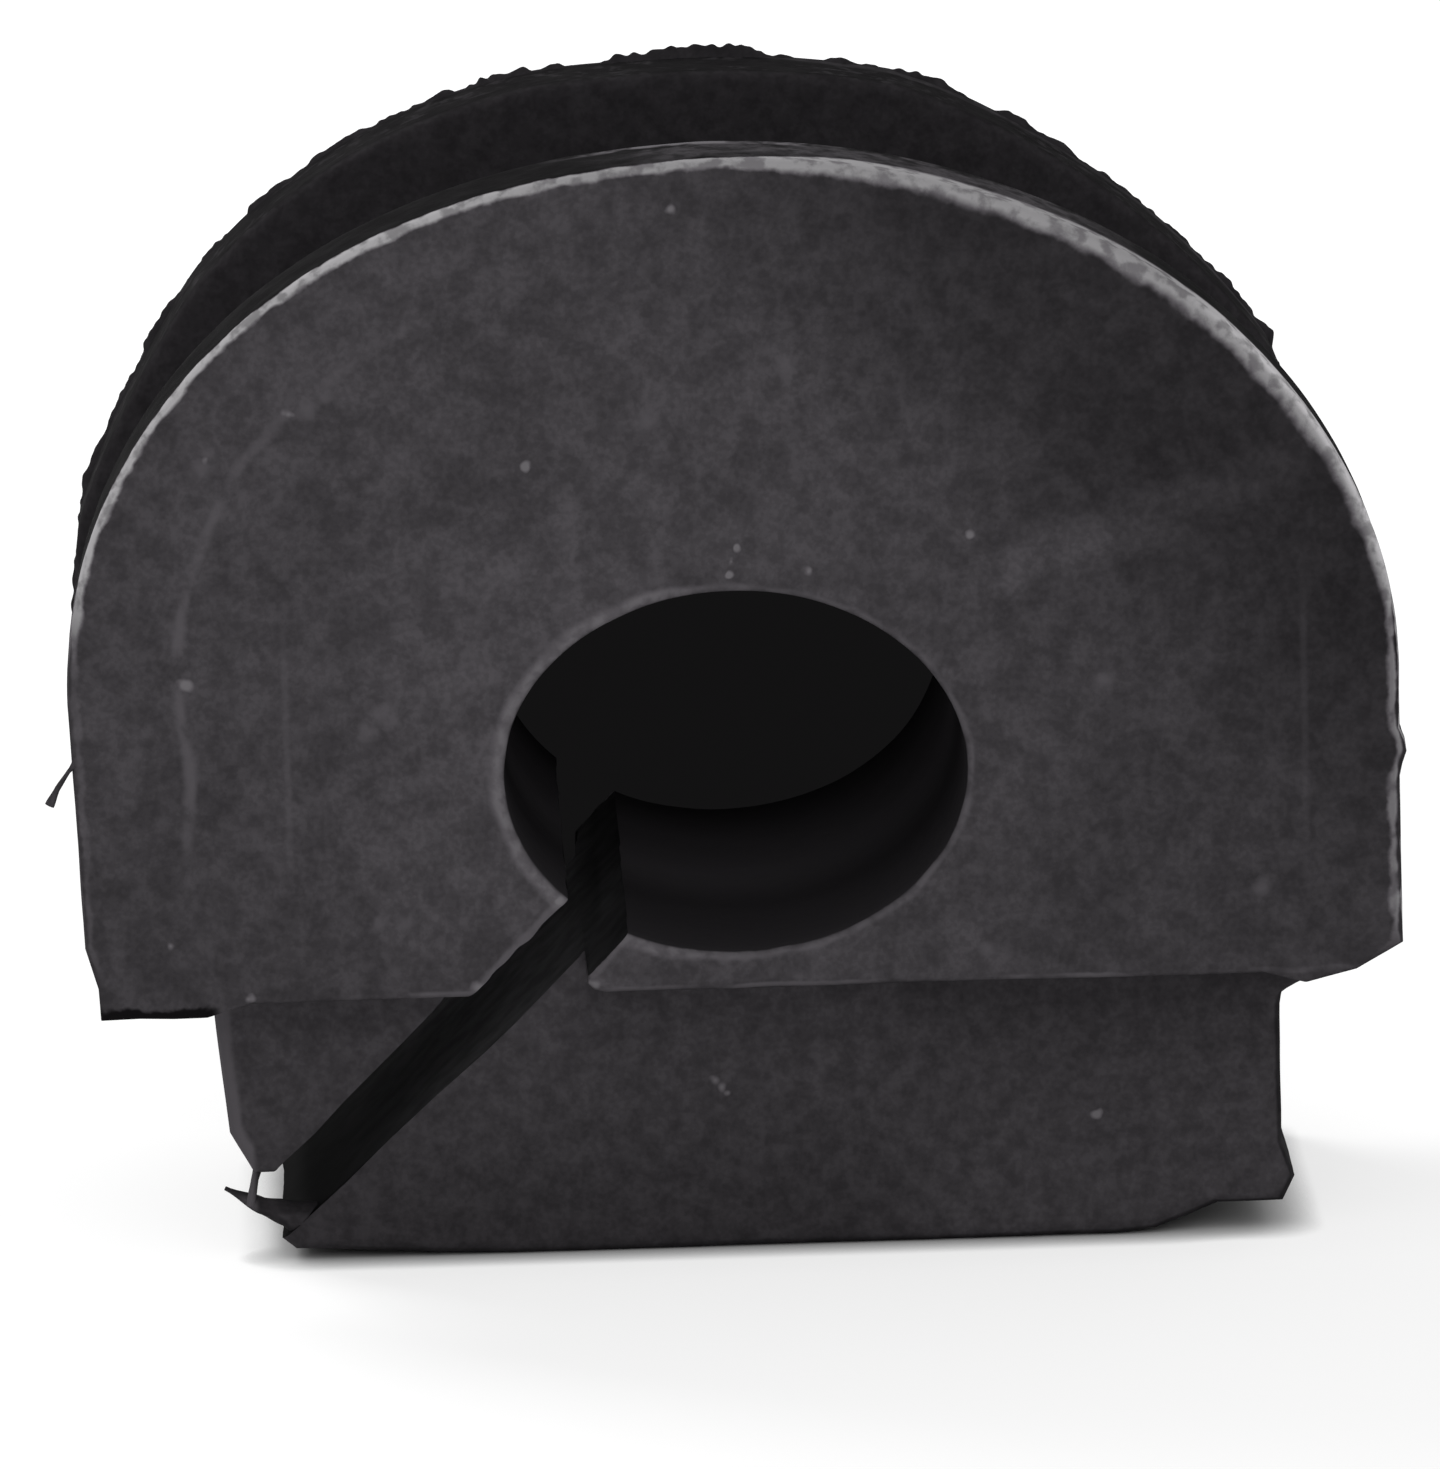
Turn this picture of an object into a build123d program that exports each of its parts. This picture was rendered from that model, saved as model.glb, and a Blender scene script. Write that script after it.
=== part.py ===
from build123d import *
import math
import os

# Split rubber bushing that holds a vehicle's sway bar to its frame, sizes in millimetres.
# X is the width, Y runs along the bar, and Z is up from the pad that rests on the frame.
# It is moulded in one piece: two arched flanges, a narrower saddle between them that the
# bracket's strap wraps, and the saddle's foot, which reaches the frame below the flanges.

# Hole for the bar, oval while nothing clamps it, and the small break of its edge
BORE_WIDTH = 22.0
BORE_HEIGHT = 17.4
BORE_EDGE = 0.35

# Rubber left round the hole, and where the arch starts to turn in
SIDE_WALL = 14.5
CROWN_WALL = 14.7
FLOOR_WALL = 15.8
ARCH_START_ABOVE_BORE = 4.2

# Flanges, and the channel between them for the strap
FLANGE_THICKNESS = 6.0
FLANGE_DEPTH = 6.0
STRAP_CHANNEL_WIDTH = 22.0
FLANGE_EDGE_RADIUS = 0.5
CHANNEL_ROOT = 0.8
ROOT_OVERLAP = 0.3
FLANGE_SIDE_TAPER = 0.6

# Rubber between the hole and the flanges' lower edge, below which only the foot goes on
WALL_UNDER_HOLE = 1.8

# Lower corners of the flanges: the left wing hangs lower, the right corner is worn off
LEFT_WING_DROP = 0.6
WORN_CORNER_WIDTH = 2.7
WORN_CORNER_HEIGHT = 1.7

# Slit from the hole to the foot's left corner, through which the bar is entered
SLIT_WIDTH = 3.3
SLIT_ANGLE = 45.0
SLIT_CORNER_RADIUS = 0.7

# Left leg of the foot, beside the slit: it curls in and stops short of the frame
LEG_LEAN = 0.8
LEG_TOE_WIDTH = 0.9
LEG_TOE_HEIGHT = 1.4
LEG_GAP = 4.3

# Pad that rests on the frame, drawn in from the foot's sides by its corner reliefs
LEFT_RELIEF_WIDTH = 4.0
RIGHT_RELIEF_WIDTH = 8.0
RIGHT_RELIEF_HEIGHT = 1.9
RIGHT_RELIEF_SLOPE = 3.8
RIGHT_LIP = 0.5
PAD_EDGE_RADIUS = 2.5

# Sliver of rubber left hanging at the slit's mouth, on the front end of the foot
SLIVER_REACH = 3.4
SLIVER_RISE = 2.9
SLIVER_ROOT = 1.7
SLIVER_TIP = 0.35
SLIVER_DEPTH = 2.5

body_half_width = BORE_WIDTH / 2 + SIDE_WALL
flange_half_width = body_half_width + FLANGE_DEPTH
bore_z = FLOOR_WALL + BORE_HEIGHT / 2
arch_start_z = bore_z + ARCH_START_ABOVE_BORE
body_top_z = bore_z + BORE_HEIGHT / 2 + CROWN_WALL
flange_top_z = body_top_z + FLANGE_DEPTH
channel_end_y = STRAP_CHANNEL_WIDTH / 2
foot_height = FLOOR_WALL - WALL_UNDER_HOLE
length = STRAP_CHANNEL_WIDTH + 2 * FLANGE_THICKNESS
pad_left_x = LEFT_RELIEF_WIDTH - body_half_width
pad_right_x = body_half_width - RIGHT_RELIEF_WIDTH
slit_turn = math.radians(SLIT_ANGLE)
half_slit_drop = SLIT_WIDTH / 2 / math.cos(slit_turn)
slit_foot_x = (half_slit_drop - bore_z) / math.tan(slit_turn)
pad_corner_x = max(pad_left_x, slit_foot_x)


def along_bar(section, front_y, depth):
    """The solid that a section in the XZ plane sweeps from front_y towards the back."""
    return extrude(Pos(0, front_y, 0) * (Plane.XZ * section), depth, dir=(0, 1, 0))


def arched_section(lower_outline, half_width, top_z):
    """A lower outline in X and Z, closed above by half an ellipse."""
    whole_arch = Ellipse(half_width, top_z - arch_start_z)
    upper_half = Rectangle(2 * half_width, top_z, align=(Align.CENTER, Align.MIN))
    lower = make_face(Polyline(*lower_outline, close=True))
    return lower + Pos(0, arch_start_z) * (whole_arch & upper_half)


def flange_section():
    wing_z = foot_height - LEFT_WING_DROP
    return arched_section(
        [
            (-flange_half_width, arch_start_z),
            (-flange_half_width + FLANGE_SIDE_TAPER, wing_z),
            (-body_half_width, wing_z),
            (-body_half_width, foot_height),
            (flange_half_width - WORN_CORNER_WIDTH, foot_height),
            (flange_half_width - FLANGE_SIDE_TAPER / 2, foot_height + WORN_CORNER_HEIGHT),
            (flange_half_width, arch_start_z),
        ],
        flange_half_width,
        flange_top_z,
    )


def saddle_section():
    leg_x = LEG_LEAN - body_half_width
    toe_x = leg_x + LEG_TOE_WIDTH
    slope_end_x = pad_right_x + RIGHT_RELIEF_SLOPE
    return arched_section(
        [
            (-body_half_width, arch_start_z),
            (-body_half_width, foot_height),
            (leg_x, LEG_GAP + LEG_TOE_HEIGHT),
            (toe_x, LEG_GAP),
            (pad_left_x, LEG_GAP),
            (pad_left_x, 0),
            (pad_right_x, 0),
            (slope_end_x, 0.8 * RIGHT_RELIEF_HEIGHT),
            (body_half_width, RIGHT_RELIEF_HEIGHT),
            (body_half_width + RIGHT_LIP, RIGHT_RELIEF_HEIGHT + RIGHT_LIP),
            (body_half_width, foot_height / 2),
            (body_half_width, arch_start_z),
        ],
        body_half_width,
        body_top_z,
    )


def slit_section():
    """A straight band from the middle of the hole, out past the foot's lower left corner."""
    reach = body_half_width + bore_z
    band = Rectangle(reach, SLIT_WIDTH, align=(Align.MAX, Align.CENTER))
    return Pos(0, bore_z) * (Rot(0, 0, SLIT_ANGLE) * band)


def slit_corner_section():
    """What rounds off the flange's sharp corner between the slit and its lower edge."""
    corner_x = (foot_height - bore_z + half_slit_drop) / math.tan(slit_turn)
    tangent = SLIT_CORNER_RADIUS / math.tan(slit_turn / 2)
    corner = Polyline(
        (corner_x, foot_height),
        (corner_x + tangent, foot_height),
        (corner_x + tangent * math.cos(slit_turn), foot_height + tangent * math.sin(slit_turn)),
        close=True,
    )
    roller = Pos(corner_x + tangent, foot_height + SLIT_CORNER_RADIUS) * Circle(SLIT_CORNER_RADIUS)
    return make_face(corner) - roller


def front_flange():
    front_y = -length / 2
    plate = along_bar(flange_section(), front_y, FLANGE_THICKNESS)
    plate = fillet(plate.faces().sort_by(Axis.Y)[0].edges(), FLANGE_EDGE_RADIUS)
    bore = Pos(0, bore_z) * Ellipse(BORE_WIDTH / 2, BORE_HEIGHT / 2)
    plate -= along_bar(bore, front_y, FLANGE_THICKNESS)
    plate = chamfer(plate.faces().sort_by(Axis.Y)[0].inner_wires()[0].edges(), BORE_EDGE)
    plate -= along_bar(slit_section(), front_y, FLANGE_THICKNESS)
    return plate - along_bar(slit_corner_section(), front_y, FLANGE_THICKNESS)


def saddle():
    block = along_bar(saddle_section(), -channel_end_y, STRAP_CHANNEL_WIDTH)
    pad_edges = block.edges().filter_by(Axis.Y).filter_by_position(Axis.Z, -0.01, 0.01)
    block = fillet(pad_edges.sort_by(Axis.X)[-1], PAD_EDGE_RADIUS)
    bore = Pos(0, bore_z) * Ellipse(BORE_WIDTH / 2, BORE_HEIGHT / 2)
    return block - along_bar(bore + slit_section(), -channel_end_y, STRAP_CHANNEL_WIDTH)


def sliver():
    root_x = pad_corner_x + SLIVER_ROOT
    outline = Polyline(
        (root_x, 0.3),
        (root_x, 0.3 + SLIVER_ROOT),
        (pad_corner_x - SLIVER_REACH, SLIVER_RISE + SLIVER_TIP),
        (pad_corner_x - SLIVER_REACH, SLIVER_RISE),
        close=True,
    )
    return along_bar(make_face(outline), -channel_end_y, SLIVER_DEPTH)


def channel_root():
    """The web in the channel's front inner corner, over the saddle and down both sides."""
    side = (body_half_width, foot_height)
    shoulder = (body_half_width, arch_start_z)
    crown_rise = body_top_z - arch_start_z
    path = Line(side, shoulder)
    path += EllipticalCenterArc((0, arch_start_z), body_half_width, crown_rise, 0, arc_size=180)
    path += Line((-shoulder[0], shoulder[1]), (-side[0], side[1]))
    web = Polyline(
        (-ROOT_OVERLAP, -ROOT_OVERLAP),
        (CHANNEL_ROOT + ROOT_OVERLAP, -ROOT_OVERLAP),
        (-ROOT_OVERLAP, CHANNEL_ROOT + ROOT_OVERLAP),
        close=True,
    )
    start = Plane(origin=(body_half_width, -channel_end_y, foot_height), x_dir=(1, 0, 0), z_dir=(0, 0, 1))
    route = Pos(0, -channel_end_y, 0) * (Plane.XZ * path)
    return sweep(start * make_face(web), path=route)


def bushing():
    front_end = front_flange() + channel_root()
    whole = saddle() + front_end + mirror(front_end, about=Plane.XZ)
    return whole + sliver()


rubber_bushing = bushing()
os.makedirs("parts", exist_ok=True)
export_step(rubber_bushing, "parts/rubber_bushing.step")
print("solids", len(rubber_bushing.solids()), "volume", round(rubber_bushing.volume), "mm3")
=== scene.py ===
import math

import bmesh
import bpy
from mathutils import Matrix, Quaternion, Vector, noise


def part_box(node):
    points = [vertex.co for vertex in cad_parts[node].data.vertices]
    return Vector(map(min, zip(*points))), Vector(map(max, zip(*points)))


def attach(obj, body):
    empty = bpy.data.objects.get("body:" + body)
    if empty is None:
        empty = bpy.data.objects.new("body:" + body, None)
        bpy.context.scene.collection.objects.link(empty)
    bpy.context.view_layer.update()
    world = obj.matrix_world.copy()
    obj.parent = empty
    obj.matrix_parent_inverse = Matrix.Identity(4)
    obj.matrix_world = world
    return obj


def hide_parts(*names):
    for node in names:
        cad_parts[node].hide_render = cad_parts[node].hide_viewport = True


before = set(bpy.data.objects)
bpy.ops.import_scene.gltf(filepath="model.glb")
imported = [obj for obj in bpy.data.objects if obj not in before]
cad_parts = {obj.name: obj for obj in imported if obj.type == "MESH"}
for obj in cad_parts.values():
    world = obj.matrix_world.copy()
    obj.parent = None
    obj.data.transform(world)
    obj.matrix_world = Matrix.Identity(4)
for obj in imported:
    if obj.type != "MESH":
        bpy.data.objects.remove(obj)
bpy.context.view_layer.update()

# Rubber moulding: the whole bushing, pressed in one shot from black rubber and slit afterwards.
# Two arched flanges stand proud of the saddle that the bracket's strap wraps, and the saddle's
# foot stands on the frame. The bar lies in the oval hole, and goes in through the slit.
MM = 0.001
low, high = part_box("rubber_bushing")
half_length = (high.y - low.y) / 2
flange_half_width = (high.x - low.x) / 2
flange_top = high.z

FLANGE_THICKNESS = 6.0 * MM
FLANGE_DEPTH = 6.0 * MM
HOLE_HALF_WIDTH = 11.0 * MM
HOLE_HALF_HEIGHT = 8.7 * MM
HOLE_HEIGHT = 24.5 * MM
ARCH_START = 28.7 * MM
FLANGE_FOOT = 14.0 * MM
WING_DROP = 0.6 * MM
WING_SLOPE = 2.0 * MM
WORN_CORNER = Vector((2.2, 1.25)) * MM
SLIT_HALF_WIDTH = 1.65 * MM
SLIT_DIRECTION = 225.0
SLIT_BLEND = 20.0

saddle_half_width = flange_half_width - FLANGE_DEPTH
saddle_top = flange_top - FLANGE_DEPTH
channel_end = half_length - FLANGE_THICKNESS
hole_middle = Vector((0.0, HOLE_HEIGHT))

# The flange's lower outline from its right shoulder round to its left one, in X and Z. Its
# sharp corner beside the slit is rounded, its outer corners are worn, and a scrap of rubber
# hangs below its edge on the right.
SLIT_CORNER = [(-6.4, 14.0), (-7.0, 14.12), (-7.33, 14.45), (-7.3, 14.85), (-7.16, 15.29)]
SLIT_OPENING = Vector((-9.5, 14.0)) * MM
RIGHT_WEB = [(28.0, 13.7), (27.0, 13.45), (26.5, 13.35), (25.0, 14.0)]
LEFT_CORNER = [(-30.42, 13.4), (-30.5, 14.9), (-31.05, 16.9)]
flange_corners = [
    Vector((flange_half_width, ARCH_START)),
    Vector((flange_half_width, FLANGE_FOOT + WORN_CORNER.y)),
    Vector((flange_half_width - WORN_CORNER.x, FLANGE_FOOT)),
    *(Vector(corner) * MM for corner in RIGHT_WEB),
    *(Vector(corner) * MM for corner in SLIT_CORNER),
    SLIT_OPENING,
    Vector((WING_SLOPE - saddle_half_width, FLANGE_FOOT)),
    Vector((-saddle_half_width, FLANGE_FOOT - WING_DROP)),
    *(Vector(corner) * MM for corner in LEFT_CORNER),
    Vector((-flange_half_width, ARCH_START)),
]

# The saddle's, with the relief and lip of its right corner, its pad, and the leg by the slit
PAD_LEFT = -22.2 * MM
PAD_CORNER = Vector((1.1, 0.9)) * MM
PAD_RIGHT = 18.0 * MM
RELIEF_HEIGHT = 1.4 * MM
RELIEF_SLOPE = Vector((4.8, 1.38)) * MM
RELIEF_BEND = Vector((3.2, 0.75)) * MM
RELIEF_TOE = Vector((1.8, 0.22)) * MM
FOOT_SHIFT = 0.4 * MM
FOOT_FLARE = 1.2 * MM
LIP = Vector((0.6, 1.15)) * MM
LIP_TOP = 4.2 * MM
LEG_GAP = 4.3 * MM
LEG_SIDE = 0.5 * MM
LEG_TOE = Vector((2.0, 2.0)) * MM
saddle_corners = [
    Vector((saddle_half_width, ARCH_START)),
    Vector((saddle_half_width, FLANGE_FOOT)),
    Vector((saddle_half_width + FOOT_SHIFT, FLANGE_FOOT - FOOT_FLARE)),
    Vector((saddle_half_width + FOOT_SHIFT, LIP_TOP)),
    Vector((saddle_half_width + FOOT_SHIFT + LIP.x, RELIEF_HEIGHT + LIP.y)),
    Vector((saddle_half_width + FOOT_SHIFT, RELIEF_HEIGHT)),
    Vector((PAD_RIGHT + RELIEF_SLOPE.x, RELIEF_SLOPE.y)),
    Vector((PAD_RIGHT + RELIEF_BEND.x, RELIEF_BEND.y)),
    Vector((PAD_RIGHT + RELIEF_TOE.x, RELIEF_TOE.y)),
    Vector((PAD_RIGHT, 0.0)),
    Vector((PAD_LEFT + PAD_CORNER.x, 0.0)),
    Vector((PAD_LEFT, PAD_CORNER.y)),
    Vector((PAD_LEFT, LEG_GAP)),
    Vector((LEG_TOE.x - saddle_half_width, LEG_GAP)),
    Vector((LEG_SIDE + FOOT_SHIFT - saddle_half_width, LEG_GAP + LEG_TOE.y)),
    Vector((FOOT_SHIFT - saddle_half_width, FLANGE_FOOT - WING_DROP - FOOT_FLARE)),
    Vector((-saddle_half_width, FLANGE_FOOT - WING_DROP)),
    Vector((-saddle_half_width, ARCH_START)),
]


def ray_at(turn):
    """Where a spoke starts and points, at a clockwise turn in degrees from the slit."""
    heading = math.radians(SLIT_DIRECTION - turn)
    along_slit = math.radians(SLIT_DIRECTION)
    sideways = Vector((math.sin(along_slit), -math.cos(along_slit)))
    after = max(0.0, 1.0 - turn / SLIT_BLEND)
    before = max(0.0, 1.0 - (360.0 - turn) / SLIT_BLEND)
    start = hole_middle + sideways * SLIT_HALF_WIDTH * (after - before)
    return start, Vector((math.cos(heading), math.sin(heading)))


def oval_reach(start, heading, middle, half_width, half_height):
    """How far along a spoke the far side of an oval lies."""
    off = start - middle
    a = (heading.x / half_width) ** 2 + (heading.y / half_height) ** 2
    b = off.x * heading.x / half_width**2 + off.y * heading.y / half_height**2
    c = (off.x / half_width) ** 2 + (off.y / half_height) ** 2 - 1.0
    return (math.sqrt(b * b - a * c) - b) / a


def outline_reach(start, heading, half_width, top, corners):
    """How far along a spoke an arched outline lies: its arch, or the nearest straight run."""
    arch = oval_reach(start, heading, Vector((0, ARCH_START)), half_width, top - ARCH_START)
    if (start + heading * arch).y >= ARCH_START:
        return arch
    reaches = []
    for first, second in zip(corners, corners[1:]):
        straight = second - first
        cross = heading.cross(straight)
        if abs(cross) < 1e-12:
            continue
        along_ray = (first - start).cross(straight) / cross
        along_run = (first - start).cross(heading) / cross
        if along_ray > 0 and -1e-6 <= along_run <= 1 + 1e-6:
            reaches.append(along_ray)
    return min(reaches)


def turn_to(corner):
    """The turn whose spoke passes through a corner."""
    turn = 180.0
    for _ in range(12):
        start, _heading = ray_at(turn)
        away = corner - start
        turn = (SLIT_DIRECTION - math.degrees(math.atan2(away.y, away.x))) % 360.0
    return turn


# The spokes that the mesh is hung on, about a degree apart and through every corner of the outlines
SPOKE_GAP = 1.1
corner_turns = {round(turn_to(corner), 4) for corner in flange_corners + saddle_corners}
key_turns = sorted({0.0, 360.0} | corner_turns)
turns = [0.0]
for before, after in zip(key_turns, key_turns[1:]):
    parts = max(1, round((after - before) / SPOKE_GAP))
    turns += [before + (after - before) * part / parts for part in range(1, parts + 1)]

# The wall's section is first spun as a plain ring: the hole at one radius, the flange's edge at
# the next and the saddle's surface at the third. Then each spoke is stretched to the outlines.
HOLE_RING = 10.0 * MM
FLANGE_RING = 20.0 * MM
SADDLE_RING = 30.0 * MM
HOLE_ROUND = 0.35 * MM
EDGE_ROUND = 0.5 * MM
ROOT_ROUND = 0.8 * MM
RING_TURN = math.radians(300.0)
ring_step = RING_TURN / (len(turns) - 1)


def run(start, end, count):
    """Evenly spaced points after start, as far as end."""
    return [start + (end - start) * k / count for k in range(1, count + 1)]


def rounded(middle, radius, first, last, count=4):
    """Points on a quarter round, by its middle and its first and last angle in degrees."""
    angles = [math.radians(first + (last - first) * k / count) for k in range(count + 1)]
    return [middle + Vector((math.cos(a), math.sin(a))) * radius for a in angles]


def half_section():
    """The wall's section from the middle of the hole round to the middle of the saddle."""
    face = -half_length
    step = -channel_end
    inner = [Vector((HOLE_RING, 0.0))]
    inner += run(inner[-1], Vector((HOLE_RING, face + HOLE_ROUND)), 16)[:-1]
    inner += rounded(Vector((HOLE_RING + HOLE_ROUND, face + HOLE_ROUND)), HOLE_ROUND, 180, 270)
    inner += run(inner[-1], Vector((FLANGE_RING - EDGE_ROUND, face)), 22)[:-1]
    inner += rounded(Vector((FLANGE_RING - EDGE_ROUND, face + EDGE_ROUND)), EDGE_ROUND, 270, 360)
    inner += run(inner[-1], Vector((FLANGE_RING, step - EDGE_ROUND)), 9)[:-1]
    inner += rounded(Vector((FLANGE_RING + EDGE_ROUND, step - EDGE_ROUND)), EDGE_ROUND, 180, 90)
    inner += run(inner[-1], Vector((SADDLE_RING - ROOT_ROUND, step)), 6)[:-1]
    inner += rounded(Vector((SADDLE_RING - ROOT_ROUND, step + ROOT_ROUND)), ROOT_ROUND, 270, 360)
    inner += run(inner[-1], Vector((SADDLE_RING, 0.0)), 12)
    return inner


front_half = half_section()
back_half = [Vector((point.x, -point.y)) for point in reversed(front_half[1:-1])]

# The mesh carries what its material needs, in millimetres: how far each point lies inside the
# flange's edge, out from the hole, out from the saddle and off the slit's wall
bm = bmesh.new()
edge_gap = bm.verts.layers.float.new("edge_gap")
hole_gap = bm.verts.layers.float.new("hole_gap")
saddle_gap = bm.verts.layers.float.new("saddle_gap")
slit_gap = bm.verts.layers.float.new("slit_gap")
gap_layers = (edge_gap, hole_gap, saddle_gap, slit_gap)
FAR_FROM_SLIT = 20.0
FLASH_GAPS = (-9.0, 10.0, 5.0, FAR_FROM_SLIT)
STRAND_GAPS = (-7.0, 10.0, 0.0, FAR_FROM_SLIT)
section = [bm.verts.new((point.x, point.y, 0.0)) for point in front_half + back_half]
section_edges = [bm.edges.new((vert, section[k - 1])) for k, vert in enumerate(section)]
spun = bmesh.ops.spin(
    bm,
    geom=section + section_edges,
    axis=(0, 1, 0),
    cent=(0, 0, 0),
    angle=RING_TURN,
    steps=len(turns) - 1,
    use_merge=False,
)
last_edges = [part for part in spun["geom_last"] if isinstance(part, bmesh.types.BMEdge)]
CUT_FINISH = 1
for wall_edges in (section_edges, last_edges):
    wall = bmesh.ops.contextual_create(bm, geom=wall_edges)
    wall["faces"][0].material_index = CUT_FINISH


def stretched(ring, hole, flange, saddle):
    """How far out a point of the ring goes on a spoke. Near an edge it keeps its real distance."""
    toward = 1.0 if saddle > flange else -1.0
    gap = abs(saddle - flange)
    squeeze = min(1.0, gap / (EDGE_ROUND + ROOT_ROUND) / 1.2)
    edge = EDGE_ROUND * squeeze
    root = ROOT_ROUND * squeeze
    if ring <= HOLE_RING + HOLE_ROUND:
        return hole + ring - HOLE_RING
    if ring <= FLANGE_RING - EDGE_ROUND:
        share = (ring - HOLE_RING - HOLE_ROUND) / (FLANGE_RING - EDGE_ROUND - HOLE_RING - HOLE_ROUND)
        return hole + HOLE_ROUND + (flange - EDGE_ROUND - hole - HOLE_ROUND) * share
    if ring <= FLANGE_RING:
        return flange + ring - FLANGE_RING
    if ring <= FLANGE_RING + EDGE_ROUND:
        return flange + toward * (ring - FLANGE_RING) * squeeze
    if ring <= SADDLE_RING - ROOT_ROUND:
        share = (ring - FLANGE_RING - EDGE_ROUND) / (SADDLE_RING - ROOT_ROUND - FLANGE_RING - EDGE_ROUND)
        return flange + toward * (edge + (gap - edge - root) * share)
    return saddle - toward * (SADDLE_RING - ring) * squeeze


# Neither flange keeps its arch: each entry is a span of directions from the hole, in degrees,
# and how far the flange's edge bulges there, or is worn low
FRONT_BULGES = ((100.0, 168.0, 0.45),)
REAR_BULGES = (
    (5.0, 72.0, -1.3),
    (8.0, 28.0, -0.7),
    (68.0, 106.0, -0.28),
    (100.0, 140.0, 0.3),
    (142.0, 166.0, -0.5),
)


def bulge(heading, bulges):
    """How far out of its arch a flange's edge lies in a direction."""
    direction = math.degrees(math.atan2(heading.y, heading.x))
    height = 0.0
    for first, last, most in bulges:
        share = min(1.0, max(0.0, (direction - first) / (last - first)))
        height += most * MM * math.sin(math.pi * share)
    return height


reaches = []
for turn in turns:
    start, heading = ray_at(turn)
    hole = oval_reach(start, heading, hole_middle, HOLE_HALF_WIDTH, HOLE_HALF_HEIGHT)
    flange = outline_reach(start, heading, flange_half_width, flange_top, flange_corners)
    saddle = outline_reach(start, heading, saddle_half_width, saddle_top, saddle_corners)
    reaches.append((start, heading, hole, flange, saddle))

# The slit's right wall leans in towards the slit's mouth, which lifts the pad's corner with it
SLIT_CLOSING = 0.75 * MM
CLOSING_FROM = 17.0 * MM
CLOSING_TO = 31.0 * MM
WALL_ROUGHNESS = 0.16 * MM
WALL_GRAIN = 0.9 * MM
slit_run = Vector((math.cos(math.radians(SLIT_DIRECTION)), math.sin(math.radians(SLIT_DIRECTION))))
slit_side = Vector((slit_run.y, -slit_run.x))

for vert in bm.verts:
    ring = math.hypot(vert.co.x, vert.co.z)
    around = -math.atan2(vert.co.z, vert.co.x) % (2 * math.pi)
    spoke = round(around / ring_step) % round(2 * math.pi / ring_step + 1)
    start, heading, hole, flange, saddle = reaches[min(spoke, len(reaches) - 1)]
    flange += bulge(heading, REAR_BULGES if vert.co.y > 0 else FRONT_BULGES)
    reach = stretched(ring, hole, flange, saddle)
    place = start + heading * reach
    lean = max(0.0, 1.0 - (360.0 - turns[min(spoke, len(turns) - 1)]) / SLIT_BLEND)
    far = min(1.0, max(0.0, (reach - CLOSING_FROM) / (CLOSING_TO - CLOSING_FROM)))
    place += slit_side * SLIT_CLOSING * lean * far
    from_wall = abs((place - hole_middle).dot(slit_side)) - SLIT_HALF_WIDTH
    if spoke in (0, len(turns) - 1):
        ragged = noise.noise(Vector((place.x, vert.co.y * 0.3, place.y)) / WALL_GRAIN)
        place += slit_side * ragged * WALL_ROUGHNESS
    facing_slit = (place - hole_middle).dot(slit_run) > 0
    vert[slit_gap] = from_wall / MM if facing_slit else FAR_FROM_SLIT
    inside = half_length - abs(vert.co.y)
    on_rim = ring >= FLANGE_RING - EDGE_ROUND
    in_mouth = ring <= HOLE_RING + HOLE_ROUND
    vert[edge_gap] = (flange - reach - inside * on_rim) / MM
    vert[hole_gap] = (reach - hole - inside * in_mouth) / MM
    vert[saddle_gap] = (reach - saddle) / MM
    vert.co = Vector((place.x, vert.co.y, place.y))

MERGE_WITHIN = 0.002 * MM
bmesh.ops.remove_doubles(bm, verts=bm.verts, dist=MERGE_WITHIN)
bmesh.ops.recalc_face_normals(bm, faces=bm.faces)

# Moulded rubber is never quite flat or true: slow waves over it all, finer ones at its edges
WAVE_SIZE = 9 * MM
WAVE_HEIGHT = 0.07 * MM
RIPPLE_SIZE = 1.6 * MM
RIPPLE_HEIGHT = 0.025 * MM
bm.normal_update()
for vert in bm.verts:
    slow = noise.noise(vert.co / WAVE_SIZE) * WAVE_HEIGHT
    fine = noise.noise(vert.co / RIPPLE_SIZE) * RIPPLE_HEIGHT
    vert.co += vert.normal * (slow + fine)

# The left wing's lower edge is torn a little
WING_EDGE = 14.3 * MM
TEAR_SIZE = 1.5 * MM
TEAR_DEPTH = 0.3 * MM
for vert in bm.verts:
    if vert.co.x < -saddle_half_width and vert.co.y < -channel_end and vert.co.z < WING_EDGE:
        torn = noise.noise(Vector((vert.co.x, vert.co.y * 0.2, 0.0)) / TEAR_SIZE)
        vert.co.z += torn * TEAR_DEPTH

# A web of rubber is left in the corner between the front flange and the foot's right side
WEB_FOOT = 11.3 * MM
WEB_HEIGHT = 1.2 * MM
WEB_REACH = 2.1 * MM
WEB_LENGTH = 2.0 * MM
WEB_SKIN = 0.3 * MM
for vert in bm.verts:
    behind = (vert.co.y + channel_end) / WEB_LENGTH
    if vert.co.x > saddle_half_width - WEB_SKIN and -0.1 < behind < 1.0 and vert.co.z < FLANGE_FOOT:
        share = min(1.0, max(0.0, (vert.co.z - WEB_FOOT) / WEB_HEIGHT))
        vert.co.x += WEB_REACH * share * share * (1.0 - max(0.0, behind))

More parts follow.
